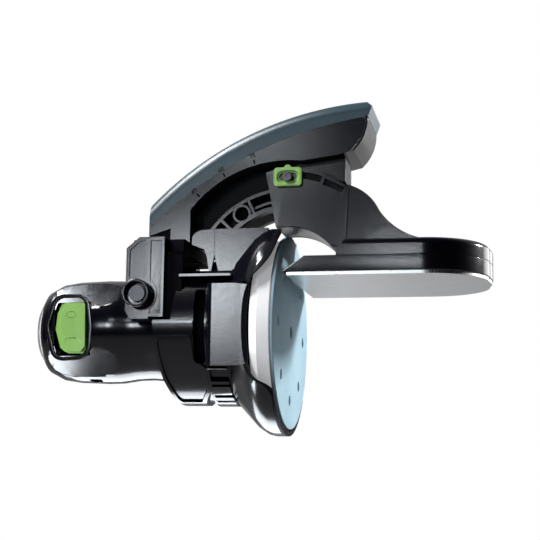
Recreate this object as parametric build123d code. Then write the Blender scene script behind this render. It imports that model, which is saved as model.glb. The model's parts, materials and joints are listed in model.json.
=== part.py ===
from build123d import *
import os
from math import cos, radians, sin

# Edge sander: a 125 mm random-orbit sander held on its side in an angle guide.
# Units are millimetres. The origin is the virtual pivot of the tilting table:
# X = 0 is the abrasive face, Y = 0 the middle plane and Z = 0 the sole.
# +X runs along the table, -Y is the switch side and +Z is up.

# ---- Driving dimensions -------------------------------------------------------
AXIS_Z = -28.5            # height of the motor axis, which runs along X
ORBIT = 1.0               # offset of the pad axis: a 2 mm stroke
PAD_Z = AXIS_Z - ORBIT
DISC_R = 62.5             # 125 mm abrasive disc
PAD_R = 61.0
HOLE_CIRCLE_R = 44.5      # dust holes of the pad
HOLE_R = 3.4
HOLE_COUNT = 8

TABLE_HALF = 52.0         # half width of the table
TABLE_END = 130.0
TABLE_TIP = 3.4
SOLE_THICK = 2.0
PART_LINE_Z = 12.0        # seam between the table's base and cover
TABLE_TOP = 22.5
CORNER_R = 40.0

RAIL_IN, RAIL_OUT = 49.0, 63.1      # arc rail, about the pivot
RAIL_HALF = 16.5
WALL_HALF = 5.0
RAIL_LEFT, RAIL_RIGHT = -62.0, 12.0
SEG_IN, SEG_OUT = 37.0, 73.0        # swinging quarter segment
SEG_LEFT, SEG_RIGHT = -11.0, 33.7
PLATE_IN, PLATE_OUT = 17.0, 20.3    # the segment's two side plates
WEB_HALF = 19.4
POST_HALF = 15.0         # thick right end of the wall under the bow
POST_RIGHT = 37.0

HANDLE_HALF = 24.0
SCALE_R = 79.5            # lower edge of the handle, which carries the scale
BLOCK_IN, BLOCK_OUT = 36.0, 46.0    # guide blocks beside the motor
GROOVE_IN, GROOVE_OUT = 38.0, 42.0
FIT = 0.4                 # sliding gap of the height guide

SHELL_OUT, SHELL_IN = 46.5, 40.5    # clamp shells around the sander
BARREL_R = 40.0
SKIRT_R = 43.0
PORT_X = -42.0
PORT_OUT, PORT_IN = 18.0, 13.5      # 36 mm dust port with a 27 mm bore
PORT_END = 88.0
PORT_DEPTH = 35.0
INLET_X = -114.0

KNOB_X, KNOB_Z = -89.5, -9.8
SHAFT_R = 4.0
RUNNING_GAP = 0.05

AXIS = Axis((0, 0, AXIS_Z), (1, 0, 0))


# ---- Helpers ------------------------------------------------------------------
def write(name, shape):
    export_step(shape, f"parts/{name}.step")


def polar(radius, angle):
    """Point (x, z) about the pivot; the angle is from straight up, positive to +X."""
    return radius * sin(radians(angle)), radius * cos(radians(angle))


def plate(outline, y_low, y_high):
    """Solid with the given XZ outline, a list of points or of edges."""
    edges = outline if isinstance(outline[0], Edge) else Polyline(*outline, close=True)
    return extrude(Plane.XZ.offset(-y_high) * make_face(edges), y_high - y_low)


def sector(r_in, r_out, a_low, a_high, y_low, y_high):
    """Ring sector about the pivot."""
    middle = (a_low + a_high) / 2
    return plate([
        ThreePointArc(polar(r_in, a_low), polar(r_in, middle), polar(r_in, a_high)),
        Line(polar(r_in, a_high), polar(r_out, a_high)),
        ThreePointArc(polar(r_out, a_high), polar(r_out, middle), polar(r_out, a_low)),
        Line(polar(r_out, a_low), polar(r_in, a_low)),
    ], y_low, y_high)


def block(x0, x1, y0, y1, z0, z1):
    return Pos((x0 + x1) / 2, (y0 + y1) / 2, (z0 + z1) / 2) * Box(x1 - x0, y1 - y0, z1 - z0)


def ring(x0, x1, r_out, r_in=0.0, z=AXIS_Z, y=0.0):
    """Disc or tube along X."""
    face = Circle(r_out) - Circle(r_in) if r_in else Circle(r_out)
    return extrude(Plane.YZ.offset(x0) * Pos(y, z) * face, x1 - x0)


def pin_y(x, z, y0, y1, radius):
    return extrude(Plane.XZ.offset(-y1) * Pos(x, z) * Circle(radius), y1 - y0)


def pin_z(x, y, z0, z1, radius):
    return extrude(Plane.XY.offset(z0) * Pos(x, y) * Circle(radius), z1 - z0)


def turned(profile):
    """Solid of revolution about the motor axis from (x, radius) points."""
    points = [(x, AXIS_Z + radius) for x, radius in profile]
    return revolve(Plane.XZ * make_face(Polyline(*points, close=True)), AXIS, 360)


def both_sides(shape):
    return shape + mirror(shape, Plane.XZ)


# ---- Handle and guide frame ---------------------------------------------------
SEAM_LEFT, SEAM_MID, SEAM_RIGHT = (-90.5, 37.3), (-23.4, 84.0), (52.9, 106.7)
END_MID, END_LOW = (50.6, 94.5), (43.5, 84.3)
CAP_THICK = 2.5


def shifted(point, dx):
    return point[0] + dx, point[1]


def handle_body():
    """Black lower half of the bow, down to the bridge at its left end."""
    outline = [
        ThreePointArc(SEAM_LEFT, SEAM_MID, SEAM_RIGHT),
        ThreePointArc(SEAM_RIGHT, END_MID, END_LOW),
        Line(END_LOW, (34.9, 82.3)),
        Line((34.9, 82.3), polar(SCALE_R, 7)),
        ThreePointArc(polar(SCALE_R, 7), polar(SCALE_R, -23), polar(SCALE_R, -52.5)),
        Line(polar(SCALE_R, -52.5), (-63, 27)),
        Line((-63, 27), (-76, 27)),
        Line((-76, 27), (-76, 36.5)),
        Line((-76, 36.5), (-90.5, 31.8)),
        Line((-90.5, 31.8), SEAM_LEFT),
    ]
    return plate(outline, -HANDLE_HALF, HANDLE_HALF) - handle_end_cap() - handle_screws()


def handle_grip():
    """Coloured top shell of the bow with rounded shoulders."""
    outline = [
        ThreePointArc(SEAM_LEFT, SEAM_MID, SEAM_RIGHT),
        Line(SEAM_RIGHT, (55.5, 113.5)),
        Line((55.5, 113.5), (51, 118.1)),
        ThreePointArc((51, 118.1), (-30.8, 96.8), (-90.5, 53.8)),
        Line((-90.5, 53.8), SEAM_LEFT),
    ]
    grip = plate(outline, -HANDLE_HALF, HANDLE_HALF)
    top = grip.faces().filter_by(GeomType.CYLINDER).sort_by(Axis.Z)[-1]
    shoulders = [e for e in top.edges() if e.length > 100]
    return fillet(shoulders, 8)


def handle_end_cap():
    """Curved cap that closes the right end of the bow."""
    inner = [shifted(p, -CAP_THICK) for p in (SEAM_RIGHT, END_MID, END_LOW)]
    inner[0] = (inner[0][0], inner[0][1] - 0.6)
    outline = [
        ThreePointArc(SEAM_RIGHT, END_MID, END_LOW),
        Line(END_LOW, inner[2]),
        ThreePointArc(inner[2], inner[1], inner[0]),
        Line(inner[0], SEAM_RIGHT),
    ]
    return plate(outline, -HANDLE_HALF, HANDLE_HALF)


BOSS_X, BOSS_Z = polar(55.6, -33.2)


def arc_rail():
    """Central wall under the bow with an arc rail on both sides; the near one is ribbed."""
    low_left, high_left = polar(RAIL_IN, RAIL_LEFT), polar(SCALE_R, -52.5)
    wall = plate([
        ThreePointArc(low_left, polar(RAIL_IN, -25), polar(RAIL_IN, RAIL_RIGHT)),
        Line(polar(RAIL_IN, RAIL_RIGHT), (33, 66)),
        Line((33, 66), (POST_RIGHT, 66.6)),
        Line((POST_RIGHT, 66.6), (POST_RIGHT, 82.7)),
        Line((POST_RIGHT, 82.7), (34.9, 82.3)),
        Line((34.9, 82.3), polar(SCALE_R, 7)),
        ThreePointArc(polar(SCALE_R, 7), polar(SCALE_R, -23), high_left),
        Line(high_left, (-63, 27)),
        Line((-63, 27), low_left),
    ], -WALL_HALF, WALL_HALF)
    post = [polar(RAIL_OUT, 3), polar(RAIL_OUT, 12), (33, 66), (POST_RIGHT, 66.6), (POST_RIGHT, 82.7),
            (34.9, 82.3), polar(SCALE_R, 7), polar(SCALE_R - 0.3, 4)]
    wall += plate(post, -POST_HALF, POST_HALF)
    ribs = sector(RAIL_OUT - 2.2, RAIL_OUT, RAIL_LEFT, RAIL_RIGHT, -RAIL_HALF, -WALL_HALF)
    ribs += sector(RAIL_IN, RAIL_IN + 2.9, RAIL_LEFT, RAIL_RIGHT, -RAIL_HALF, -WALL_HALF)
    ribs += sector(55.2, 56.8, -25, RAIL_RIGHT, -11.0, -WALL_HALF)
    for angle in (-61, -46, -25.5, -8, 11):
        ribs += sector(RAIL_IN + 1, RAIL_OUT - 1, angle - 0.9, angle + 0.9, -RAIL_HALF, -WALL_HALF)
    ribs += pin_y(BOSS_X, BOSS_Z, -RAIL_HALF, -WALL_HALF, 6.1)
    ribs -= pin_y(BOSS_X, BOSS_Z, -RAIL_HALF - 1, -7.5, 4.6)
    track = sector(RAIL_IN, RAIL_OUT, RAIL_LEFT, RAIL_RIGHT, WALL_HALF, RAIL_HALF)
    return wall + ribs + track - pin_y(BOSS_X, BOSS_Z, 7.5, RAIL_HALF + 1, 4.6)


def rail_screws():
    """Torx screws in the rail's two bosses."""
    screw = pin_y(BOSS_X, BOSS_Z, -10.5, -7.5, 3.6)
    screw -= extrude(Plane.XZ.offset(9.0) * Pos(BOSS_X, BOSS_Z) * RegularPolygon(1.7, 6), 2)
    return both_sides(screw)


def guide_block(near):
    """Block with a vertical groove for the height slide; it stands beside the motor."""
    outline = [(-98.4, -20), (-96, -24), (-73.6, -24), (-73.6, 27), (-90, 27), (-98.4, 20)]
    body = plate(outline, -BLOCK_OUT, -BLOCK_IN)
    body -= block(-95, -72, -GROOVE_OUT, -GROOVE_IN, -26, 19)
    if near:
        panels = plate([(-96.2, 0.5), (-86.4, 0.5), (-86.4, 24.6), (-89.4, 24.6), (-96.2, 18.9)],
                       -BLOCK_OUT - 1, -BLOCK_OUT + 1.2)
        panels += block(-82.6, -75.4, -BLOCK_OUT - 1, -BLOCK_OUT + 1.2, -22, 24.6)
        panels -= pin_y(KNOB_X, KNOB_Z, -60, -30, 11.5)
        body -= panels
        body += block(-96, -83, -BLOCK_OUT - 0.8, -GROOVE_OUT - 0.1, -25.4, -23.9)
        return body - pin_y(KNOB_X, KNOB_Z, -60, -GROOVE_OUT + 1, 3.05)
    return mirror(body, Plane.XZ)


def frame_bridge():
    """Cross piece that joins the handle to both guide blocks."""
    bridge = block(-97, -75, -BLOCK_IN, BLOCK_IN, 19, 27)
    bridge += block(-75, -63, -BLOCK_IN, BLOCK_IN, 19, 27)
    for y in (-14, 14):
        bridge -= pin_z(-69.5, y, 18, 22, 4.3)
    return bridge - handle_screws()


def handle_screws():
    """Screws that hold the handle down on the bridge, with sunk heads."""
    screws = Part()
    for y in (-14, 14):
        screws += pin_z(-69.5, y, 19.5, 22, 4.2) + pin_z(-69.5, y, 22, 36, 2.0)
    return screws


def clamp_knob():
    """Round knob that locks the sander's height, with a deep round recess."""
    knob = pin_y(KNOB_X, KNOB_Z, -BLOCK_OUT - 8.5, -BLOCK_OUT - 0.3, 9.0)
    rim = knob.edges().filter_by(GeomType.CIRCLE).sort_by(Axis.Y)[0]
    knob = fillet(rim, 1.0)
    knob -= pin_y(KNOB_X, KNOB_Z, -60, -BLOCK_OUT - 2.3, 7.2)
    return knob - pin_y(KNOB_X, KNOB_Z, -60, -30, 3.0)


def knob_screw():
    """Steel stud of the knob with a large flat head."""
    head = pin_y(KNOB_X, KNOB_Z, -BLOCK_OUT - 5.2, -BLOCK_OUT - 2.3, 5.1)
    return head + pin_y(KNOB_X, KNOB_Z, -BLOCK_OUT - 2.3, -GROOVE_OUT, 3.0)


# ---- Tilting table ------------------------------------------------------------
def table_outline(left, inset=0.0):
    """Plan outline of the table with two large corners and a slightly convex end."""
    half, end, radius = TABLE_HALF - inset, TABLE_END - inset, CORNER_R - inset
    cx, cy = end - radius - 1.5, half - radius
    diagonal = radius * cos(radians(45))
    edges = [
        Line((left, -half), (cx, -half)),
        ThreePointArc((cx, -half), (cx + diagonal, -cy - diagonal), (cx + radius, -cy)),
        ThreePointArc((cx + radius, -cy), (end, 0), (cx + radius, cy)),
        ThreePointArc((cx + radius, cy), (cx + diagonal, cy + diagonal), (cx, half)),
        Line((cx, half), (left, half)),
        Line((left, half), (left, -half)),
    ]
    return make_face(edges)


SOLE_HOLES = [(28, -38), (28, 38), (104, -26), (104, 26)]


def sole_plate():
    """Flat aluminium sole."""
    sole = extrude(table_outline(6.0, 0.8), SOLE_THICK)
    for x, y in SOLE_HOLES:
        sole -= pin_z(x, y, 1.0, SOLE_THICK + 1, 1.55)
    return sole


def sole_screws():
    screws = Part()
    for x, y in SOLE_HOLES:
        screws += pin_z(x, y, 1.0, 7.5, 1.5) + pin_z(x, y, 7.5, 9.5, 3.0)
    return screws


def table_base():
    """Lower table body, whose left edge is bevelled to clear the disc."""
    body = extrude(Plane.XY.offset(SOLE_THICK) * table_outline(TABLE_TIP), PART_LINE_Z - SOLE_THICK)
    bevel = [(TABLE_TIP - 2, 2.7), (TABLE_TIP, 2.7), (16.6, PART_LINE_Z), (16.6, 14), (TABLE_TIP - 2, 14)]
    body -= plate(bevel, -60, 60)
    for x, y in SOLE_HOLES:
        body -= pin_z(x, y, 0, 7.5, 1.55) + pin_z(x, y, 7.5, 14, 3.1)
    return body


def table_cover():
    """Upper table body with a rounded top edge and a pocket for the handle's post."""
    body = extrude(Plane.XY.offset(PART_LINE_Z) * table_outline(36.6), TABLE_TOP - PART_LINE_Z)
    body -= plate([(36, 15.6), (36.6, 15.6), (42.3, 22.6), (42.3, 23), (36, 23)], -60, 60)
    top = body.faces().sort_by(Axis.Z)[-1]
    round_edges = [e for e in top.edges() if e.center().X > 50]
    body = fillet(round_edges, 4)
    pocket = block(63, 80, -POST_HALF - 1.2, POST_HALF + 1.2, 17.5, 24)
    return body - pocket - web_screws()


def segment_side():
    """Near side plate of the swinging segment without its slots."""
    bottom = polar(SEG_IN, 50)
    outline = [
        ThreePointArc(polar(SEG_IN, SEG_LEFT), polar(SEG_IN, 20), bottom),
        Line(bottom, (38, TABLE_TOP + 0.3)),
        Line((38, TABLE_TOP + 0.3), polar(SEG_OUT, SEG_RIGHT)),
        ThreePointArc(polar(SEG_OUT, SEG_RIGHT), polar(SEG_OUT + 2.8, 12), polar(SEG_OUT + 1, SEG_LEFT)),
        Line(polar(SEG_OUT + 1, SEG_LEFT), polar(SEG_IN, SEG_LEFT)),
    ]
    return plate(outline, -PLATE_OUT, -PLATE_IN)


def segment_plate():
    """Near side plate with two long pockets below its rim."""
    side = segment_side()
    for low, high, radius in ((8.5, 18.4, 72.8), (20.2, 31.8, 71.8)):
        side -= sector(radius - 4.2, radius, low, high, -PLATE_OUT - 1, -PLATE_IN - 0.8)
    return side - pin_y(0.6, 68.9, -30, -10, 1.55)


def segment_arch():
    """Inner wall of the segment that joins both side plates above the disc."""
    return sector(SEG_IN, SEG_IN + 3.5, SEG_LEFT, 50, -PLATE_IN, PLATE_IN)


def guide_shoes():
    """Four sliding shoes on the arch that ride on the rail's inner face."""
    shoes = Part()
    for angle in (-6, 18):
        shoes += sector(SEG_IN + 3.5, RAIL_IN - 0.3, angle - 4, angle + 4, -PLATE_IN, -6.5)
    return both_sides(shoes)


def table_web():
    """Fairing from the segment down to the table: two walls with room for the handle's post."""
    outline = [
        Line((38, TABLE_TOP), (38, 63.6)),
        ThreePointArc((38, 63.6), (50.5, 57.6), (59.6, 46)),
        ThreePointArc((59.6, 46), (72, 33.6), (91.6, 26.6)),
        Line((91.6, 26.6), (106, TABLE_TOP)),
        Line((106, TABLE_TOP), (38, TABLE_TOP)),
    ]
    web = plate(outline, -WEB_HALF, WEB_HALF)
    web -= block(41, 88, -PLATE_IN, PLATE_IN, TABLE_TOP - 1, 80)
    web -= block(30, 42, -PLATE_IN, PLATE_IN, 25, 80)
    web -= both_sides(segment_side())
    return web - web_screws()


def web_screws():
    """Screws that hold the fairing down on the table."""
    screws = Part()
    for x, y in ((92, -11), (92, 11), (97, 0)):
        screws += pin_z(x, y, PART_LINE_Z, PART_LINE_Z + 3, 3.6)
        screws += pin_z(x, y, PART_LINE_Z + 3, TABLE_TOP + 1.5, 2.0)
    return screws


def pointer_plate():
    """Scale pointer with an adjusting slot."""
    body = plate([(-8.4, 62.6), (10.1, 62.6), (10.1, 75.1), (-8.4, 75.1)], -23, -PLATE_OUT - 0.05)
    corners = body.edges().filter_by(Axis.Y)
    body = fillet(corners, 2.6)
    body += plate([(-2, 75), (3.4, 75), (1.6, 77), (-0.2, 77)], -23, -PLATE_OUT - 0.05)
    recess = extrude(Plane.XZ.offset(22.2) * Pos(0.9, 68.7) * SlotOverall(14.4, 8.4), 4)
    slot = extrude(Plane.XZ.offset(10) * Pos(0.9, 68.9) * SlotOverall(11.4, 5.2), 20)
    return body - recess - slot


def pointer_screw():
    """Torx screw through the pointer's slot."""
    head = pin_y(0.6, 68.9, -24.2, -22.3, 3.1)
    head -= extrude(Plane.XZ.offset(23.2) * Pos(0.6, 68.9) * RegularPolygon(1.6, 6), 2)
    return head + pin_y(0.6, 68.9, -22.3, -PLATE_IN, 1.5)


LOCK_X, LOCK_Z = polar(58, 6)


def lock_knob():
    """Star knob behind the segment that locks the table's angle."""
    knob = pin_y(LOCK_X, LOCK_Z, PLATE_OUT + 0.5, PLATE_OUT + 12, 9.0)
    for turn in range(6):
        knob -= pin_y(LOCK_X + 10.7 * cos(radians(60 * turn)), LOCK_Z + 10.7 * sin(radians(60 * turn)),
                      PLATE_OUT - 1, PLATE_OUT + 14, 3.4)
    return knob - pin_y(LOCK_X, LOCK_Z, 0, 60, 2.5)


def lock_stud():
    """Threaded stud of the angle lock, pressed into the knob."""
    return pin_y(LOCK_X, LOCK_Z, PLATE_IN, PLATE_OUT + 10, 2.5)


# ---- Sander carrier: clamp shells and disc shroud ------------------------------
BAND_LOW, BAND_HIGH = -37.0, -27.0
CLAMP_BOLTS = [(-66, -43.6), (-66, 43.6), (-38, -44)]
PANEL_Y = -48.0                     # flat face beside the motor, level on shell and shroud
PANEL_LOW, PANEL_HIGH = -55.0, -3.7
PANEL_END = -23.3
SHELL_LEFT = [(-95, -20), (-80.3, -24), (-78.8, -36), (-77.2, -51), (-75.9, -60), (-74.2, -68), (-71, -80),
              (-95, -80)]
ARCH_LEFT = [(-90, -26), (-68.5, -26), (-67.7, -18.6), (-66.6, -6.6), (-64.5, 4), (-48.5, 4), (-48.5, 30),
             (-90, 30)]
WINDOW = [(-76.8, -38), (-75.2, -51), (-73.4, -62), (-69, -75.6), (-54.8, -75.6), (-48.2, -69),
          (-48.2, -57.2), (-55.8, -51.5), (-56.4, -38)]
FIELD_R = 47.3                      # smooth raised field inside the lower shell's frame
SLOT = (-53.6, -46.4, -53.4, -6.7)  # left, right, low, high


def opening(face, y_low, y_high):
    """Prism of a face drawn on the XZ plane."""
    return extrude(Plane.XZ.offset(-y_high) * face, y_high - y_low, dir=(0, -1, 0))


def shell_lip(face, width, radius, floor_radius):
    """Raised border around a field, both following the shell's round face."""
    lip = opening(offset(face, width), -60, 8) & ring(-84, -24, radius, SHELL_IN)
    return lip - (opening(face, -60, 10) - ring(-90, -10, floor_radius))


def clamp_shell():
    """Both clamp shells in one, before they are parted at the motor axis."""
    shell = ring(-84, -24, SHELL_OUT, SHELL_IN)
    band = ring(-81, -54, SHELL_OUT + 1.2, SHELL_IN)
    shell += band & block(-90, -50, -60, 60, BAND_LOW, BAND_HIGH)
    panel = block(-45.6, PANEL_END, PANEL_Y, -34, PANEL_LOW, PANEL_HIGH)
    panel = fillet(panel.edges().filter_by(Axis.Z).group_by(Axis.X)[0].sort_by(Axis.Y)[0], 4)
    shell += panel - ring(-90, -10, SHELL_IN) - ring(-24, -10, SKIRT_R + 0.5)
    shell -= plate(SHELL_LEFT, -60, 60)
    left, right, low, high = SLOT
    window = make_face(FilletPolyline(*WINDOW, radius=2.5, close=True))
    slot = Pos((left + right) / 2, (low + high) / 2) * RectangleRounded(right - left, high - low, 3)
    shell += shell_lip(window, 1.9, SHELL_OUT + 2.2, FIELD_R)
    shell += shell_lip(slot, 1.1, SHELL_OUT + 0.7, SHELL_OUT)
    shell -= opening(slot, -60, -24)
    shell -= plate(ARCH_LEFT, -60, 60)
    shell -= pin_y(PORT_X, AXIS_Z, 20, 70, PORT_OUT + 0.4)
    for x, y in CLAMP_BOLTS:
        shell -= pin_z(x, y, -37, -20, 1.85)
    return shell


def clamp_upper(shell, guard):
    """Upper shell with a thin stiffening rib above the panel."""
    rib = block(-64.5, -31.4, -43, -30.5, 1.8, 3.4) - ring(-90, -10, SHELL_OUT - 1)
    upper = (shell & block(-95, -10, -70, 70, AXIS_Z, 40)) + rib
    return upper - guard


def clamp_lower(shell, guard):
    """Lower shell with horizontal louvres under the panel."""
    lower = shell & block(-95, -10, -70, 70, -95, AXIS_Z)
    louvres = block(-46, -33, -40, 14, -77.5, -56) & ring(-50, -30, SHELL_OUT + 2.6)
    louvres -= ring(-90, -10, SHELL_OUT - 2)
    for low, high in ((-64, -57), (-67, -65.6), (-73.2, -71.6), (-75.8, -74.8)):
        louvres -= block(-44.5, -30, -60, 20, low, high)
    lower += louvres
    return lower - guard


def clamp_bolts():
    bolts = Part()
    for x, y in CLAMP_BOLTS:
        bolts += pin_z(x, y, -37, -20, 1.8)
    return bolts


def slide_rail(upper):
    """Near tongue of the height slide, which runs in the guide block's groove."""
    rail = block(-94.5, -63, -GROOVE_OUT + FIT, -GROOVE_IN - FIT, -26, 16)
    return rail - upper - ring(-90, -10, SHELL_IN)


SHROUD_OUTER = [(-33, 0), (-33, 47.2), (-31, 47.2), (-31, 49.6), (-18, 63.5), (-12, 67.2), (-8, 68),
                (-1, 68), (-1, 0)]
SHROUD_INNER = [(-34, 0), (-34, 44.5), (-31, 44.5), (-31, 46.5), (-19, 61), (-13, 64.3), (-9, 65),
                (3, 65), (3, 0)]
SCALLOP = [(-5, 34.5), (-5.2, 25), (-7.5, 12.3), (-12.8, 3.7), (-18.6, -3.5), (-22.3, -17), (-22.3, -40),
           (-19.5, -55), (-14, -64), (-7, -67.6), (-3.6, -71.5), (-3, -80)]
RIM_WIDTH = 3.0


def front_cut(shift):
    """Everything in front of the shroud's scalloped edge, moved by shift along X."""
    edge = [(x + shift, z) for x, z in SCALLOP]
    low = (edge[-1][0], -110)
    return plate([
        Spline(*edge),
        Line(edge[-1], low),
        Line(low, (12, -110)),
        Line((12, -110), (12, 40)),
        Line((12, 40), (edge[0][0], 40)),
        Line((edge[0][0], 40), edge[0]),
    ], -80, 80)


def whole_shroud():
    """Flared guard behind the disc, open at the top between two side walls."""
    inner = turned(SHROUD_INNER)
    cone = turned(SHROUD_OUTER)
    recess = block(-31, -17, -80, PANEL_Y + 3, PANEL_LOW, PANEL_HIGH)
    ledges = block(-31, -17, -80, PANEL_Y + 3, PANEL_LOW - 2, PANEL_HIGH + 2) - recess
    ledges += block(PANEL_END, -18.5, PANEL_Y, PANEL_Y + 3, PANEL_LOW - 1, PANEL_HIGH + 1)
    ledges -= ring(-18, -16, 53.5)
    guard = cone - inner - recess + (ledges & cone)
    guard -= block(-45, 8, -27, 27, 0, 60)
    outline = [(-59.9, 24.4), (-59.8, 29.3), (-58, 32), (-54.7, 33.5), (-45, 34.3), (-10, 34.3), (-10, 5),
               (-48, 5), (-49.7, 15.4), (-51.5, 21)]
    wall = plate(outline, -30, -27)
    wall -= plate([(-47.5, 4), (-44.9, 17.9), (-41.6, 4)], -40, -20)
    wall -= plate([(-45.3, 18), (-44.5, 18), (-44.5, 35), (-45.3, 35)], -40, -29.3)
    wall -= inner + ring(-90, -30, SHELL_OUT)
    guard += both_sides(wall)
    return guard - pin_y(PORT_X, AXIS_Z, 20, 70, PORT_OUT + 0.4)


def disc_shroud(whole):
    return whole - front_cut(0)


def shroud_rim(whole):
    return (whole & front_cut(0)) - front_cut(RIM_WIDTH)


# ---- Sander --------------------------------------------------------------------
HEAD = [(-168.5, 0), (-168.5, 9), (-166.5, 19), (-161, 27.5), (-152, 32), (-141, 33.6), (-122, 34.3),
        (-112, 34), (-100, 32.2), (-90, 32), (-74.5, 33.5), (-70, BARREL_R), (-58, BARREL_R), (-58, 0)]
WALL = 3.0
FACET_Y = -30.5
BEZEL_EDGE = [(-150.8, -7.0), (-156.4, -28), (-150.4, -50.6), (-125.4, -49.4), (-124.6, -28), (-127.4, -7.0)]
ROCKER_EDGE = [(-145.6, -13.2), (-129.4, -13.2), (-127.9, -41.5), (-130.5, -45), (-141.5, -45),
               (-144.9, -42.4), (-148.8, -30.5), (-148.2, -20)]
ROCKER_FACE = [(-143.2, -13.2), (-129.4, -13.2), (-127.9, -41.5), (-130.5, -45), (-139, -45), (-142.2, -41),
               (-144.8, -30.5), (-144.4, -20)]
ROCKER_Y, ROCKER_Z, ROCKER_PIN_R = -27, AXIS_Z + 0.5, 1.3


def bezel_face():
    return make_face(FilletPolyline(*BEZEL_EDGE, radius=9, close=True))


def rocker_face(points):
    return make_face(FilletPolyline(*points, radius=1.4, close=True))


HOLLOW = [(-165.5, 0), (-165.5, 8), (-163.8, 17), (-158, 24), (-150, 27.5), (-90, 27.5), (-75, 30.4),
          (-69.8, BARREL_R - WALL), (-61, BARREL_R - WALL), (-61, 0)]


def facet(angle):
    """Slanted cut along the head, fading out towards the barrel."""
    side = [(-176, AXIS_Z + 28.4), (-100, AXIS_Z + 33.9), (-100, AXIS_Z + 50), (-176, AXIS_Z + 50)]
    return plate(side, -40, 40).rotate(AXIS, angle)


def motor_housing():
    """Near and far half of the hollow head and barrel, with facets and a seat for the switch."""
    outer = turned(HEAD)
    for angle in (48, -48, 132, -132):
        outer -= facet(angle)
    outer -= opening(offset(bezel_face(), 0.3), -50, FACET_Y)
    outer -= block(-150.4, -126.6, -40, -20, -46.5, -11.6)
    outer -= ring(-151.6, -125.4, ROCKER_PIN_R + FIT / 2, z=ROCKER_Z, y=ROCKER_Y)
    outer -= ring(-62, -57, 12)
    outer -= block(-157.6, -150.4, 18, 40, -41, -16)
    outer -= pin_y(INLET_X, AXIS_Z, 20, 50, 9.05)
    outer -= pin_z(-128, -10, -66, -60.6, 4.6)
    inner = turned(HOLLOW)
    near = (outer & block(-180, -50, -60, 0, -80, 20)) - inner
    far = (outer & block(-180, -50, 0, 60, -80, 20)) - inner
    return near, far


def switch_bezel():
    """Raised frame around the rocker, bowed on its left side."""
    frame = bezel_face()
    return opening(frame - offset(frame, -2.6), FACET_Y - 2.4, FACET_Y)


def power_switch():
    """Rocker with a stepped left flank, which stands in its off position."""
    key = opening(rocker_face(ROCKER_EDGE), -32.4, -26) + opening(rocker_face(ROCKER_FACE), -34.2, -32.4)
    mark = Pos(-138.3, -21.1) * (SlotOverall(6.2, 4.4) - SlotOverall(5.2, 3.4))
    key -= opening(mark, -36, -33.9)
    key += opening(Pos(-136.8, -35.6) * SlotOverall(4.6, 0.9), -34.5, -34.2)
    key += pin_y(-141.2, -35.9, -34.5, -34.2, 0.6)
    key += ring(-151.4, -125.6, ROCKER_PIN_R, z=ROCKER_Z, y=ROCKER_Y)
    return key.rotate(Axis((0, ROCKER_Y, ROCKER_Z), (1, 0, 0)), -4)


def speed_dial():
    """Thumb wheel that stands out of a slot on the far side."""
    wheel = ring(-157, -151, 11, 0, z=AXIS_Z, y=21.5) + ring(-158, -149, 1.4, 0, z=AXIS_Z, y=21.5)
    for turn in range(18):
        angle = radians(20 * turn)
        wheel -= ring(-158, -150, 0.8, 0, z=AXIS_Z + 11.2 * sin(angle), y=21.5 + 11.2 * cos(angle))
    return wheel


def circuit_board():
    return ring(-163, -161, 16, 0)


def stator():
    """Laminated stator of the brushless motor with six poles."""
    core = ring(-136, -102, 23, 19)
    for pole in range(6):
        angle = 60 * pole + 30
        arm = Pos(-119, 0, AXIS_Z) * Rot(angle, 0, 0) * Pos(0, 16.6, 0) * Box(34, 6, 7)
        core += arm
    return core


def bearing_bracket(x0, x1, r_out):
    return ring(x0, x1, r_out, 9.0)


def motor_bearing(x0, x1):
    return ring(x0, x1, 9.0, SHAFT_R + RUNNING_GAP)


def motor_shaft():
    return ring(-148, -35, SHAFT_R)


def rotor_core():
    return ring(-134, -104, 12.6, SHAFT_R)


def fan():
    """Radial fan with curved-back blades, written as straight ones."""
    wheel = ring(-47, -45.4, 34, SHAFT_R) + ring(-54, -47, 9, SHAFT_R)
    for blade in range(12):
        vane = Rot(30 * blade, 0, 0) * Pos(-50.5, 21, 0) * Rot(25, 0, 0) * Box(7.4, 24, 1.2)
        wheel += Pos(0, 0, AXIS_Z) * vane
    return wheel & (ring(-56, -44, 34.5) - ring(-57, -43, SHAFT_R))


def counterweight():
    """Half disc that balances the pad."""
    half = ring(-44.4, -38.6, 22, SHAFT_R) & block(-46, -38, -30, 30, AXIS_Z, 20)
    return half + ring(-44.4, -38.6, 9, SHAFT_R)


def eccentric():
    """Hub whose bore lies 1 mm off the motor axis."""
    hub = ring(-38, -22, 12) - ring(-39, -35, SHAFT_R)
    return hub - ring(-35, -21, 8.5, 0, z=PAD_Z)


def pad_bearing():
    return ring(-34, -24, 8.5, SHAFT_R + RUNNING_GAP, z=PAD_Z)


def fan_housing():
    """Cup around the fan whose outlet feeds the dust port."""
    cup = ring(-57.8, -23, BARREL_R, BARREL_R - WALL) + ring(-26, -23, BARREL_R - 1, 14)
    cup += ring(-57.8, -55.5, BARREL_R - 1, 12)
    return cup - pin_y(PORT_X, AXIS_Z, 20, 50, PORT_IN - 1)


def dust_skirt():
    return ring(-22.8, -18.6, SKIRT_R, 34)


def dust_port():
    """Hose socket on the far side."""
    tube = pin_y(PORT_X, AXIS_Z, 30, PORT_END, PORT_OUT) - ring(-80, -10, BARREL_R)
    tube += pin_y(PORT_X, AXIS_Z, PORT_END - 10, PORT_END - 7, PORT_OUT + 1.2)
    tube -= pin_y(PORT_X, AXIS_Z, PORT_END - PORT_DEPTH, PORT_END + 1, PORT_IN)
    return tube - pin_y(PORT_X, AXIS_Z, 10, PORT_END, PORT_IN - 1)


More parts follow.
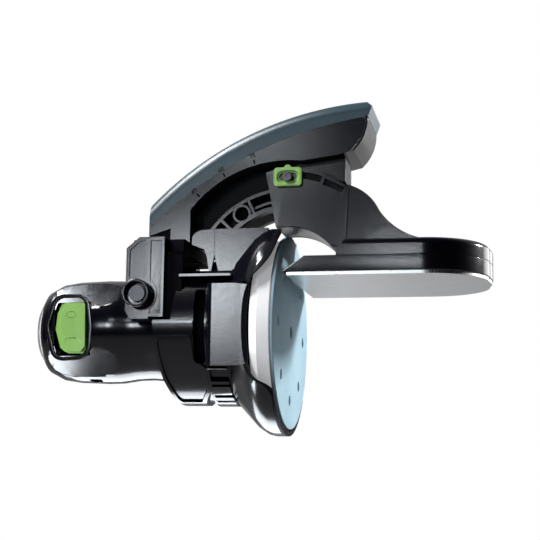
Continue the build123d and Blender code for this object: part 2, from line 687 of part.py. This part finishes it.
def power_inlet():
    """Socket for a plug-in mains lead."""
    sleeve = pin_y(INLET_X, AXIS_Z, 28, 36, 9.0) + pin_y(INLET_X, AXIS_Z, 34.8, 62, 12)
    sleeve -= pin_y(INLET_X, AXIS_Z, 40, 63, 9.5)
    return sleeve + pin_y(INLET_X, AXIS_Z, 40, 58, 4.5)


def inlet_pins():
    pins = Part()
    for x in (INLET_X - 2, INLET_X + 2):
        pins += pin_y(x, AXIS_Z, 58, 61, 0.9)
    return pins


# ---- Pad ------------------------------------------------------------------------
def drilled(shape):
    """Cut the pad's dust holes: a circle of holes and one in the middle."""
    for index in range(HOLE_COUNT):
        angle = radians(360 / HOLE_COUNT * index - 3)
        shape -= ring(-30, 5, HOLE_R, 0, z=PAD_Z + HOLE_CIRCLE_R * sin(angle), y=HOLE_CIRCLE_R * cos(angle))
    return shape


def pad_spindle():
    spindle = ring(-34.5, -17.5, SHAFT_R, 0, z=PAD_Z) + ring(-21, -17.5, 10, 0, z=PAD_Z)
    return spindle - ring(-30, -17, 2.0, 0, z=PAD_Z)


def pad_carrier():
    """Stiff tapered back of the pad."""
    points = [(-17.5, 2.05), (-17.5, 50), (-11, 59.5), (-11, 2.05)]
    profile = Polyline(*[(x, PAD_Z + r) for x, r in points], close=True)
    body = revolve(Plane.XZ * make_face(profile), Axis((0, 0, PAD_Z), (1, 0, 0)), 360)
    return drilled(body)


def sanding_pad():
    return drilled(ring(-11, -3, PAD_R, 6.2, z=PAD_Z))


def hook_layer():
    return drilled(ring(-3, -1.5, PAD_R + 0.5, 4, z=PAD_Z))


def abrasive_disc():
    return drilled(ring(-1.5, 0, DISC_R, 4, z=PAD_Z))


def pad_screw():
    head = ring(-11, -7, 5.5, 0, z=PAD_Z)
    head -= extrude(Plane.YZ.offset(-8.6) * Pos(0, PAD_Z) * RegularPolygon(2.9, 6), 3)
    return head + ring(-29, -11, 1.95, 0, z=PAD_Z)


# ---- Write every piece -----------------------------------------------------------
def main():
    os.makedirs("parts", exist_ok=True)

    write("handle_body", handle_body())
    write("handle_grip", handle_grip())
    write("handle_end_cap", handle_end_cap())
    write("arc_rail", arc_rail())
    write("rail_screws", rail_screws())
    write("guide_block_near", guide_block(True))
    write("guide_block_far", guide_block(False))
    write("frame_bridge", frame_bridge())
    write("handle_screws", handle_screws())
    write("clamp_knob", clamp_knob())
    write("knob_screw", knob_screw())

    write("sole_plate", sole_plate())
    write("sole_screws", sole_screws())
    write("table_base", table_base())
    write("table_cover", table_cover())
    near_plate = segment_plate()
    lock_hole = pin_y(LOCK_X, LOCK_Z, 0, 60, 2.55)
    write("segment_near", near_plate)
    write("segment_far", mirror(near_plate, Plane.XZ) - lock_hole)
    write("segment_arch", segment_arch())
    write("guide_shoes", guide_shoes())
    write("table_web", table_web())
    write("web_screws", web_screws())
    write("pointer_plate", pointer_plate())
    write("pointer_screw", pointer_screw())
    write("lock_knob", lock_knob())
    write("lock_stud", lock_stud())

    shell = clamp_shell()
    whole = whole_shroud()
    upper = clamp_upper(shell, whole)
    near_rail = slide_rail(upper)
    write("clamp_upper", upper)
    write("clamp_lower", clamp_lower(shell, whole))
    write("clamp_bolts", clamp_bolts())
    write("slide_rail_near", near_rail)
    write("slide_rail_far", mirror(near_rail, Plane.XZ))
    write("disc_shroud", disc_shroud(whole))
    write("shroud_rim", shroud_rim(whole))

    near, far = motor_housing()
    write("housing_near", near)
    write("housing_far", far)
    write("switch_bezel", switch_bezel())
    write("power_switch", power_switch())
    write("speed_dial", speed_dial())
    write("circuit_board", circuit_board())
    write("stator", stator())
    write("bracket_rear", bearing_bracket(-146, -140, 23.5))
    write("bracket_front", bearing_bracket(-69.7, -62.7, BARREL_R - WALL))
    write("bearing_rear", motor_bearing(-146, -140))
    write("bearing_front", motor_bearing(-69.7, -62.7))
    write("motor_shaft", motor_shaft())
    write("rotor_core", rotor_core())
    write("fan", fan())
    write("counterweight", counterweight())
    write("eccentric", eccentric())
    write("pad_bearing", pad_bearing())
    write("fan_housing", fan_housing())
    write("dust_skirt", dust_skirt())
    write("dust_port", dust_port())
    write("power_inlet", power_inlet())
    write("inlet_pins", inlet_pins())
    write("pad_spindle", pad_spindle())
    write("pad_carrier", pad_carrier())
    write("sanding_pad", sanding_pad())
    write("hook_layer", hook_layer())
    write("abrasive_disc", abrasive_disc())
    write("pad_screw", pad_screw())


main()
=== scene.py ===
import json
from math import cos, radians, sin

import bmesh
import bpy
from mathutils import Matrix, Vector


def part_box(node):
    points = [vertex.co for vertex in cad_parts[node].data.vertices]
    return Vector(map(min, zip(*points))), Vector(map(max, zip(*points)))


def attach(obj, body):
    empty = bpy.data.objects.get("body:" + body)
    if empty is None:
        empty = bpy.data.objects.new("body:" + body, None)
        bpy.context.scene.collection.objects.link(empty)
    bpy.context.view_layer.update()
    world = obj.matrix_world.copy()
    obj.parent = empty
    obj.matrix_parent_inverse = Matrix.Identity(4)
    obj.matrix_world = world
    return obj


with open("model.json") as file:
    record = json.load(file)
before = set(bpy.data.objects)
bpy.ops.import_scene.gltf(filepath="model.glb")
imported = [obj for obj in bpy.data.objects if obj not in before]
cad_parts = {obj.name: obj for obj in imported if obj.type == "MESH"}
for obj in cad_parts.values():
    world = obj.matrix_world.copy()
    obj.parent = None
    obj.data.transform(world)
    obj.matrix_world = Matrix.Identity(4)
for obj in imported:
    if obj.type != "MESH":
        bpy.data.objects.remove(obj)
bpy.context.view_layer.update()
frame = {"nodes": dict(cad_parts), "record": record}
nodes = frame["nodes"]
MM = 0.001

# ---- Places read from the frame ----------------------------------------------------
shaft_low, shaft_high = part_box("motor_shaft")
AXIS_Z = (shaft_low.z + shaft_high.z) / 2
HANDLE_FACE_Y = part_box("handle_body")[0].y
SEGMENT_FACE_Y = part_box("segment_near")[0].y
RAIL_RIB_DEPTH = 5.3 * MM
RAIL_RIB_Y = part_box("arc_rail")[0].y + RAIL_RIB_DEPTH


# ---- Shader helpers ---------------------------------------------------------------
class Shader:
    """A small builder for node materials."""

    def __init__(self, name):
        self.material = bpy.data.materials.new(name)
        self.material.use_nodes = True
        self.tree = self.material.node_tree
        self.surface = self.tree.nodes["Principled BSDF"]
        self.coords = self.add("ShaderNodeTexCoord").outputs["Object"]

    def add(self, kind, **settings):
        node = self.tree.nodes.new(kind)
        for key, value in settings.items():
            setattr(node, key, value)
        return node

    def link(self, source, target):
        self.tree.links.new(source, target)

    def set(self, **values):
        for key, value in values.items():
            self.surface.inputs[key.replace("_", " ")].default_value = value

    def stretched(self, scale):
        mapping = self.add("ShaderNodeMapping")
        mapping.inputs["Scale"].default_value = scale
        self.link(self.coords, mapping.inputs["Vector"])
        return mapping.outputs["Vector"]

    def noise(self, scale, detail=4.0, roughness=0.55, vector=None):
        node = self.add("ShaderNodeTexNoise")
        node.inputs["Scale"].default_value = scale
        node.inputs["Detail"].default_value = detail
        node.inputs["Roughness"].default_value = roughness
        self.link(vector or self.coords, node.inputs["Vector"])
        return node.outputs["Fac"]

    def cells(self, scale):
        node = self.add("ShaderNodeTexVoronoi", feature="F1")
        node.inputs["Scale"].default_value = scale
        self.link(self.coords, node.inputs["Vector"])
        return node.outputs["Distance"]

    def ramp(self, value, stops):
        node = self.add("ShaderNodeValToRGB")
        node.color_ramp.elements[0].position, node.color_ramp.elements[0].color = stops[0]
        node.color_ramp.elements[1].position, node.color_ramp.elements[1].color = stops[-1]
        for position, colour in stops[1:-1]:
            node.color_ramp.elements.new(position).color = colour
        self.link(value, node.inputs["Fac"])
        return node.outputs["Color"]

    def map(self, value, low, high, out_low, out_high):
        node = self.add("ShaderNodeMapRange")
        for name, number in zip(("From Min", "From Max", "To Min", "To Max"),
                                (low, high, out_low, out_high)):
            node.inputs[name].default_value = number
        self.link(value, node.inputs["Value"])
        return node.outputs["Result"]

    def mix(self, factor, first, second):
        node = self.add("ShaderNodeMix", data_type="RGBA")
        self.link(factor, node.inputs["Factor"])
        for socket, value in ((node.inputs[6], first), (node.inputs[7], second)):
            if isinstance(value, tuple):
                socket.default_value = value
            else:
                self.link(value, socket)
        return node.outputs[2]

    def painted_edge_highlight(self):
        """Painted highlight: white where the mesh is sharply convex."""
        pointiness = self.add("ShaderNodeNewGeometry").outputs["Pointiness"]
        return self.map(pointiness, 0.52, 0.62, 0.0, 1.0)

    def bump(self, height, strength, distance):
        """Raise the surface by height; the distance is in metres."""
        node = self.add("ShaderNodeBump")
        node.inputs["Strength"].default_value = strength
        node.inputs["Distance"].default_value = distance
        self.link(height, node.inputs["Height"])
        self.link(node.outputs["Normal"], self.surface.inputs["Normal"])


def rgb(red, green, blue):
    return (red, green, blue, 1.0)


def grained_plastic(name, colour, light, grain=1500, depth=0.3, rough=(0.30, 0.42), specular=0.5,
                    painted_glow=0.0):
    """Moulded plastic with a fine leather-like grain and a painted highlight on its sharp edges."""
    shader = Shader(name)
    clouds = shader.noise(40, 3)
    base = shader.mix(shader.map(clouds, 0.35, 0.65, 0.0, 0.6), colour, light)
    # Painted highlight: sharp convex edges are mixed towards the pale colour.
    shader.link(shader.mix(shader.painted_edge_highlight(), base, light), shader.surface.inputs["Base Color"])
    fine = shader.cells(grain)
    shader.link(shader.map(shader.noise(220, 5), 0.3, 0.7, *rough), shader.surface.inputs["Roughness"])
    # Painted glow: emission in the pale colour; only the pad sets it above zero.
    shader.set(Specular_IOR_Level=specular, Emission_Color=light, Emission_Strength=painted_glow)
    shader.bump(fine, depth, 0.00012)
    return shader.material


POCKET_ROUGHNESS = 0.75


def recessed_plastic(name, colour, light, face_y, rough):
    """Grained plastic that is glossy on its outer faces and dull in its pockets."""
    shader = Shader(name)
    split = shader.add("ShaderNodeSeparateXYZ")
    shader.link(shader.coords, split.inputs["Vector"])
    depth = shader.add("ShaderNodeMath", operation="ABSOLUTE")
    shader.link(split.outputs["Y"], depth.inputs[0])
    clouds = shader.noise(40, 3)
    shader.link(shader.mix(clouds, colour, light), shader.surface.inputs["Base Color"])
    dull = shader.map(depth.outputs[0], face_y - 0.8 * MM, face_y - 0.4 * MM, POCKET_ROUGHNESS, rough)
    shader.link(dull, shader.surface.inputs["Roughness"])
    shader.bump(shader.cells(1500), 0.12, 0.00012)
    return shader.material


def build_materials():
    black = grained_plastic("black_plastic", rgb(0.002, 0.002, 0.0045), rgb(0.005, 0.0052, 0.009),
                            depth=0.12, rough=(0.155, 0.18))
    rail = recessed_plastic("rail_black", rgb(0.002, 0.002, 0.0045), rgb(0.005, 0.0052, 0.009),
                            -RAIL_RIB_Y, 0.18)
    plate = recessed_plastic("segment_black", rgb(0.002, 0.002, 0.0045), rgb(0.005, 0.0052, 0.009),
                             -SEGMENT_FACE_Y, 0.165)
    matt = grained_plastic("matt_black", rgb(0.0015, 0.0015, 0.004), rgb(0.003, 0.003, 0.006),
                           depth=0.15, rough=(0.5, 0.6), specular=0.05)
    gloss = grained_plastic("gloss_black", rgb(0.0015, 0.0015, 0.004), rgb(0.004, 0.004, 0.007),
                            grain=2600, depth=0.04, rough=(0.13, 0.16))
    blue = grained_plastic("grip_blue", rgb(0.016, 0.040, 0.056), rgb(0.026, 0.056, 0.075),
                           grain=1900, depth=0.18, rough=(0.32, 0.37))
    green = grained_plastic("signal_green", rgb(0.26, 0.50, 0.11), rgb(0.30, 0.56, 0.14),
                            grain=2600, depth=0.06, rough=(0.20, 0.24))
    rubber = grained_plastic("black_rubber", rgb(0.004, 0.004, 0.007), rgb(0.008, 0.008, 0.012),
                             grain=1200, depth=0.15, rough=(0.45, 0.6))
    grey = grained_plastic("grey_plastic", rgb(0.018, 0.018, 0.022), rgb(0.03, 0.03, 0.034))
    # The pad has a painted glow, an emission that makes it brighter than its lighting alone would.
    pad = grained_plastic("pad_grey", rgb(0.78, 0.78, 0.79), rgb(0.84, 0.84, 0.85),
                          grain=2200, depth=0.10, rough=(0.35, 0.5), painted_glow=0.25)
    board = grained_plastic("board", rgb(0.02, 0.10, 0.05), rgb(0.03, 0.14, 0.07))

    brushed = Shader("sole_aluminium")
    streaks = brushed.noise(1.0, 6, 0.7, brushed.stretched((60, 4200, 60)))
    brushed.link(brushed.ramp(streaks, [(0.3, rgb(0.62, 0.62, 0.62)), (0.7, rgb(0.74, 0.74, 0.74))]),
                 brushed.surface.inputs["Base Color"])
    brushed.link(brushed.map(streaks, 0.3, 0.7, 0.24, 0.36), brushed.surface.inputs["Roughness"])
    brushed.set(Metallic=1.0)
    brushed.bump(streaks, 0.15, 0.00005)

    steel = Shader("steel")
    turned = steel.noise(900, 4)
    steel.link(steel.ramp(turned, [(0.3, rgb(0.07, 0.07, 0.075)), (0.7, rgb(0.13, 0.13, 0.135))]),
               steel.surface.inputs["Base Color"])
    steel.link(steel.map(turned, 0.3, 0.7, 0.3, 0.45), steel.surface.inputs["Roughness"])
    steel.set(Metallic=1.0)
    steel.bump(turned, 0.1, 0.00005)

    grit = Shader("abrasive_blue")
    grains = grit.cells(2600)
    patches = grit.noise(25, 4)
    colour = grit.mix(grit.map(patches, 0.35, 0.65, 0.0, 1.0), rgb(0.24, 0.38, 0.46), rgb(0.29, 0.44, 0.52))
    colour = grit.mix(grit.map(grains, 0.0, 0.5, 0.35, 0.0), colour, rgb(0.42, 0.58, 0.66))
    grit.link(colour, grit.surface.inputs["Base Color"])
    grit.set(Roughness=0.8)
    grit.bump(grains, 0.6, 0.0002)

    loops = Shader("hook_fabric")
    fuzz = loops.noise(1800, 6)
    loops.link(loops.ramp(fuzz, [(0.3, rgb(0.16, 0.17, 0.18)), (0.7, rgb(0.34, 0.35, 0.36))]),
               loops.surface.inputs["Base Color"])
    loops.set(Roughness=0.95)
    loops.bump(fuzz, 0.8, 0.0003)

    ink = Shader("mark_ink")
    speckle = ink.noise(500, 3)
    ink.link(ink.ramp(speckle, [(0.3, rgb(0.001, 0.001, 0.002)), (0.7, rgb(0.004, 0.004, 0.006))]),
             ink.surface.inputs["Base Color"])
    ink.set(Roughness=0.9, Specular_IOR_Level=0.0)
    ink.bump(speckle, 0.1, 0.00005)

    return {
        "black_plastic": black, "rail_black": rail, "segment_black": plate, "matt_black": matt,
        "gloss_black": gloss, "grip_blue": blue, "signal_green": green,
        "black_rubber": rubber, "grey_plastic": grey, "pad_grey": pad, "board": board,
        "sole_aluminium": brushed.material, "steel": steel.material, "abrasive_blue": grit.material,
        "hook_fabric": loops.material, "mark_ink": ink.material,
    }


materials = build_materials()
slot_of = {part["node"]: part["material_slot"] for part in frame["record"]["subparts"]}


# ---- Carried-over CAD nodes ---------------------------------------------------------
BEVEL_MM = {"table_base": 1.2, "table_cover": 1.0, "handle_body": 1.2, "handle_grip": 1.0,
            "guide_block_near": 0.6, "guide_block_far": 0.6, "segment_near": 0.15, "segment_far": 0.15,
            "table_web": 1.0, "clamp_upper": 0.5, "clamp_lower": 0.5, "disc_shroud": 0.8,
            "shroud_rim": 1.2, "frame_bridge": 0.8, "handle_end_cap": 0.8}
DEFAULT_BEVEL_MM = 0.3


def soften(obj, width):
    """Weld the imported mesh, round its sharp edges and shade its flat faces flat."""
    weld = obj.modifiers.new("weld", "WELD")
    weld.merge_threshold = 2e-6
    bevel = obj.modifiers.new("bevel", "BEVEL")
    bevel.width, bevel.segments = width, 2
    bevel.limit_method, bevel.angle_limit = "ANGLE", radians(35)
    bevel.use_clamp_overlap = True
    normals = obj.modifiers.new("normals", "WEIGHTED_NORMAL")
    normals.mode, normals.weight = "FACE_AREA_WITH_ANGLE", 90
    for face in obj.data.polygons:
        face.use_smooth = True


LOOKS = {"arc_rail": "rail_black", "segment_near": "segment_black", "segment_far": "segment_black"}
for name in ("shroud_rim", "frame_bridge", "slide_rail_near", "slide_rail_far", "fan_housing",
             "dust_skirt", "rail_screws"):
    LOOKS[name] = "matt_black"
for name, obj in nodes.items():
    obj.data.materials.clear()
    obj.data.materials.append(materials[LOOKS.get(name, slot_of[name])])
    soften(obj, BEVEL_MM.get(name, DEFAULT_BEVEL_MM) * MM)


# ---- Scale and small raised details ------------------------------------------------------
def polar(radius, angle):
    """Point (x, z) about the table's pivot; the angle is from straight up, positive to +X."""
    return radius * sin(radians(angle)) * MM, radius * cos(radians(angle)) * MM


def add_bar(mesh, angle, low, high, width, y, depth):
    """Thin radial bar on a face that looks towards -Y."""
    x, z = polar((low + high) / 2, angle)
    turn = Matrix.Rotation(radians(angle), 4, "Y")
    size = Matrix.Diagonal((width * MM, depth * MM, (high - low) * MM, 1))
    bmesh.ops.create_cube(mesh, size=1, matrix=Matrix.Translation((x, y, z)) @ turn @ size)


def add_number(mesh, text, height, radius, angle, y):
    """Raised digits that stand upright along the arc."""
    curve = bpy.data.curves.new("number", "FONT")
    curve.body, curve.size, curve.extrude = text, height * MM, 0.15 * MM
    curve.align_x, curve.align_y = "CENTER", "CENTER"
    letters = bpy.data.objects.new("number", curve)
    bpy.context.scene.collection.objects.link(letters)
    bpy.context.view_layer.update()
    x, z = polar(radius, angle)
    stand = Matrix.Rotation(radians(angle), 4, "Y") @ Matrix.Rotation(radians(90), 4, "X")
    solid = letters.evaluated_get(bpy.context.evaluated_depsgraph_get()).to_mesh()
    solid.transform(Matrix.Translation((x, y, z)) @ stand)
    mesh.from_mesh(solid)
    bpy.data.objects.remove(letters)
    bpy.data.curves.remove(curve)


def finish_piece(name, mesh, body, material, width):
    data = bpy.data.meshes.new(name)
    mesh.to_mesh(data)
    mesh.free()
    data.materials.append(material)
    piece = bpy.data.objects.new(name, data)
    bpy.context.scene.collection.objects.link(piece)
    bevel = piece.modifiers.new("bevel", "BEVEL")
    bevel.width, bevel.segments = width * MM, 2
    bevel.limit_method = "ANGLE"
    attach(piece, body)
    return piece


SCALE = {"75": -15, "60": -30, "45": -45}


def build_scale():
    """Angle scale along the lower edge of the handle, read by the pointer on the segment."""
    mesh = bmesh.new()
    for text, angle in SCALE.items():
        add_bar(mesh, angle, 80.6, 83.2, 1.0, HANDLE_FACE_Y, 0.3)
        add_number(mesh, text, 4.2, 86.0, angle, HANDLE_FACE_Y)
    finish_piece("angle_scale", mesh, "guide_frame", materials["mark_ink"], 0.02)


def build_segment_ridges():
    """Short raised teeth at the segment's upper left corner."""
    mesh = bmesh.new()
    for angle in (-11.0, -10.3, -9.6):
        add_bar(mesh, angle, 66.5, 72.5, 0.45, SEGMENT_FACE_Y, 0.5)
    finish_piece("segment_ridges", mesh, "table", materials["black_plastic"], 0.1)


build_scale()
build_segment_ridges()


# ---- Stage: floor, lights and camera ---------------------------------------------------
def add_light(name, place, target, size, power, colour=(1, 1, 1)):
    data = bpy.data.lights.new(name, "AREA")
    data.shape, data.size, data.size_y = "RECTANGLE", size[0], size[1]
    data.energy, data.color = power, colour
    light = bpy.data.objects.new(name, data)
    bpy.context.scene.collection.objects.link(light)
    light.location = place
    light.rotation_mode = "QUATERNION"
    light.rotation_quaternion = (Vector(target) - Vector(place)).to_track_quat("-Z", "Y")


FLOOR_HALF, FLOOR_Z = 1.4, -0.34


def build_floor():
    """Mid-grey floor, below the object and out of the camera's frame."""
    shader = Shader("studio_floor")
    patches = shader.noise(3, 2)
    shader.link(shader.ramp(patches, [(0.0, rgb(0.14, 0.14, 0.145)), (1.0, rgb(0.18, 0.18, 0.18))]),
                shader.surface.inputs["Base Color"])
    shader.set(Roughness=0.9)
    mesh = bpy.data.meshes.new("floor")
    half, z = FLOOR_HALF, FLOOR_Z
    mesh.from_pydata([(-half, -half, z), (half, -half, z), (half, half, z), (-half, half, z)], [],
                     [(0, 1, 2, 3)])
    mesh.materials.append(shader.material)
    floor = bpy.data.objects.new("floor", mesh)
    bpy.context.scene.collection.objects.link(floor)


def build_world():
    """White to the camera; bright behind the object and nearly dark in front of it."""
    world = bpy.data.worlds.new("studio")
    bpy.context.scene.world = world
    world.use_nodes = True
    tree = world.node_tree
    background = tree.nodes["Background"]
    coords = tree.nodes.new("ShaderNodeTexCoord")
    split = tree.nodes.new("ShaderNodeSeparateXYZ")
    fade = tree.nodes.new("ShaderNodeMapRange")
    for name, value in (("From Min", -0.1), ("From Max", 0.6), ("To Min", 0.0), ("To Max", 0.5)):
        fade.inputs[name].default_value = value
    rays = tree.nodes.new("ShaderNodeLightPath")
    pick = tree.nodes.new("ShaderNodeMix")
    pick.inputs[3].default_value = 1.0
    tree.links.new(coords.outputs["Generated"], split.inputs["Vector"])
    tree.links.new(split.outputs["Y"], fade.inputs["Value"])
    tree.links.new(fade.outputs["Result"], pick.inputs[2])
    tree.links.new(rays.outputs["Is Camera Ray"], pick.inputs[0])
    tree.links.new(pick.outputs[0], background.inputs["Strength"])
    background.inputs["Color"].default_value = (1, 1, 1, 1)


def build_lights():
    """Soft boxes in front for the flat faces, high right for the disc, the rest as edge light."""
    cool = (0.88, 0.94, 1.0)
    add_light("front_soft", (-0.31, -1.06, 0.15), (0, 0, 0.02), (0.15, 0.13), 1.5, cool)
    add_light("front_high", (-0.23, -1.06, 0.37), (0, 0, 0.02), (0.09, 0.09), 0.24, cool)
    add_light("front_strip", (-0.02, -1.06, 0.17), (0.06, 0, 0.02), (0.03, 0.04), 0.35, cool)
    add_light("left_front", (-0.75, -0.35, 1.0), (0, 0, -0.02), (0.5, 0.5), 28)
    add_light("right_high", (1.03, 0.47, 0.41), (0, 0, -0.03), (0.15, 0.15), 22)
    add_light("right_back", (0.7, 0.87, 0.2), (0.1, 0, 0), (0.6, 0.3), 1.8)
    add_light("under", (-0.18, 0.28, -0.33), (-0.18, 0.28, 0.0), (0.34, 0.34), 3.0, cool)
    add_light("under_left", (-0.34, -0.08, -0.33), (-0.34, -0.08, 0.0), (0.12, 0.14), 1.2, cool)
    add_light("top_left", (-0.68, 0.08, 0.97), (-0.1, 0, 0), (0.14, 0.12), 2.0, cool)
    add_light("left_back", (-1.0, 0.5, 0.0), (-0.1, 0, 0), (0.4, 0.6), 3)


CAMERA_AZIMUTH, CAMERA_ELEVATION, CAMERA_ROLL = radians(11.3), radians(-9.2), radians(0.8)
CAMERA_DISTANCE = 0.8442
AIM_RIGHT, AIM_UP = 0.0162, -0.0469
LENS_MM = 86.67


def build_camera():
    """Looks from low on the switch side, with the disc's centre right of and below the middle."""
    back = Vector((sin(CAMERA_AZIMUTH) * cos(CAMERA_ELEVATION),
                   -cos(CAMERA_AZIMUTH) * cos(CAMERA_ELEVATION), sin(CAMERA_ELEVATION)))
    level = Vector((cos(CAMERA_AZIMUTH), sin(CAMERA_AZIMUTH), 0))
    upright = back.cross(level)
    right = level * cos(CAMERA_ROLL) + upright * sin(CAMERA_ROLL)
    up = upright * cos(CAMERA_ROLL) - level * sin(CAMERA_ROLL)
    place = Vector((0, 0, AXIS_Z)) - CAMERA_DISTANCE * (-back + AIM_RIGHT * right + AIM_UP * up)
    data = bpy.data.cameras.new("camera")
    data.lens = LENS_MM
    data.clip_start, data.clip_end = 0.05, 50
    camera = bpy.data.objects.new("camera", data)
    bpy.context.scene.collection.objects.link(camera)
    camera.matrix_world = Matrix((
        (right.x, up.x, back.x, place.x),
        (right.y, up.y, back.y, place.y),
        (right.z, up.z, back.z, place.z),
        (0, 0, 0, 1)))
    bpy.context.scene.camera = camera
    bpy.context.scene.view_settings.view_transform = "Standard"


build_floor()
build_world()
build_lights()
build_camera()
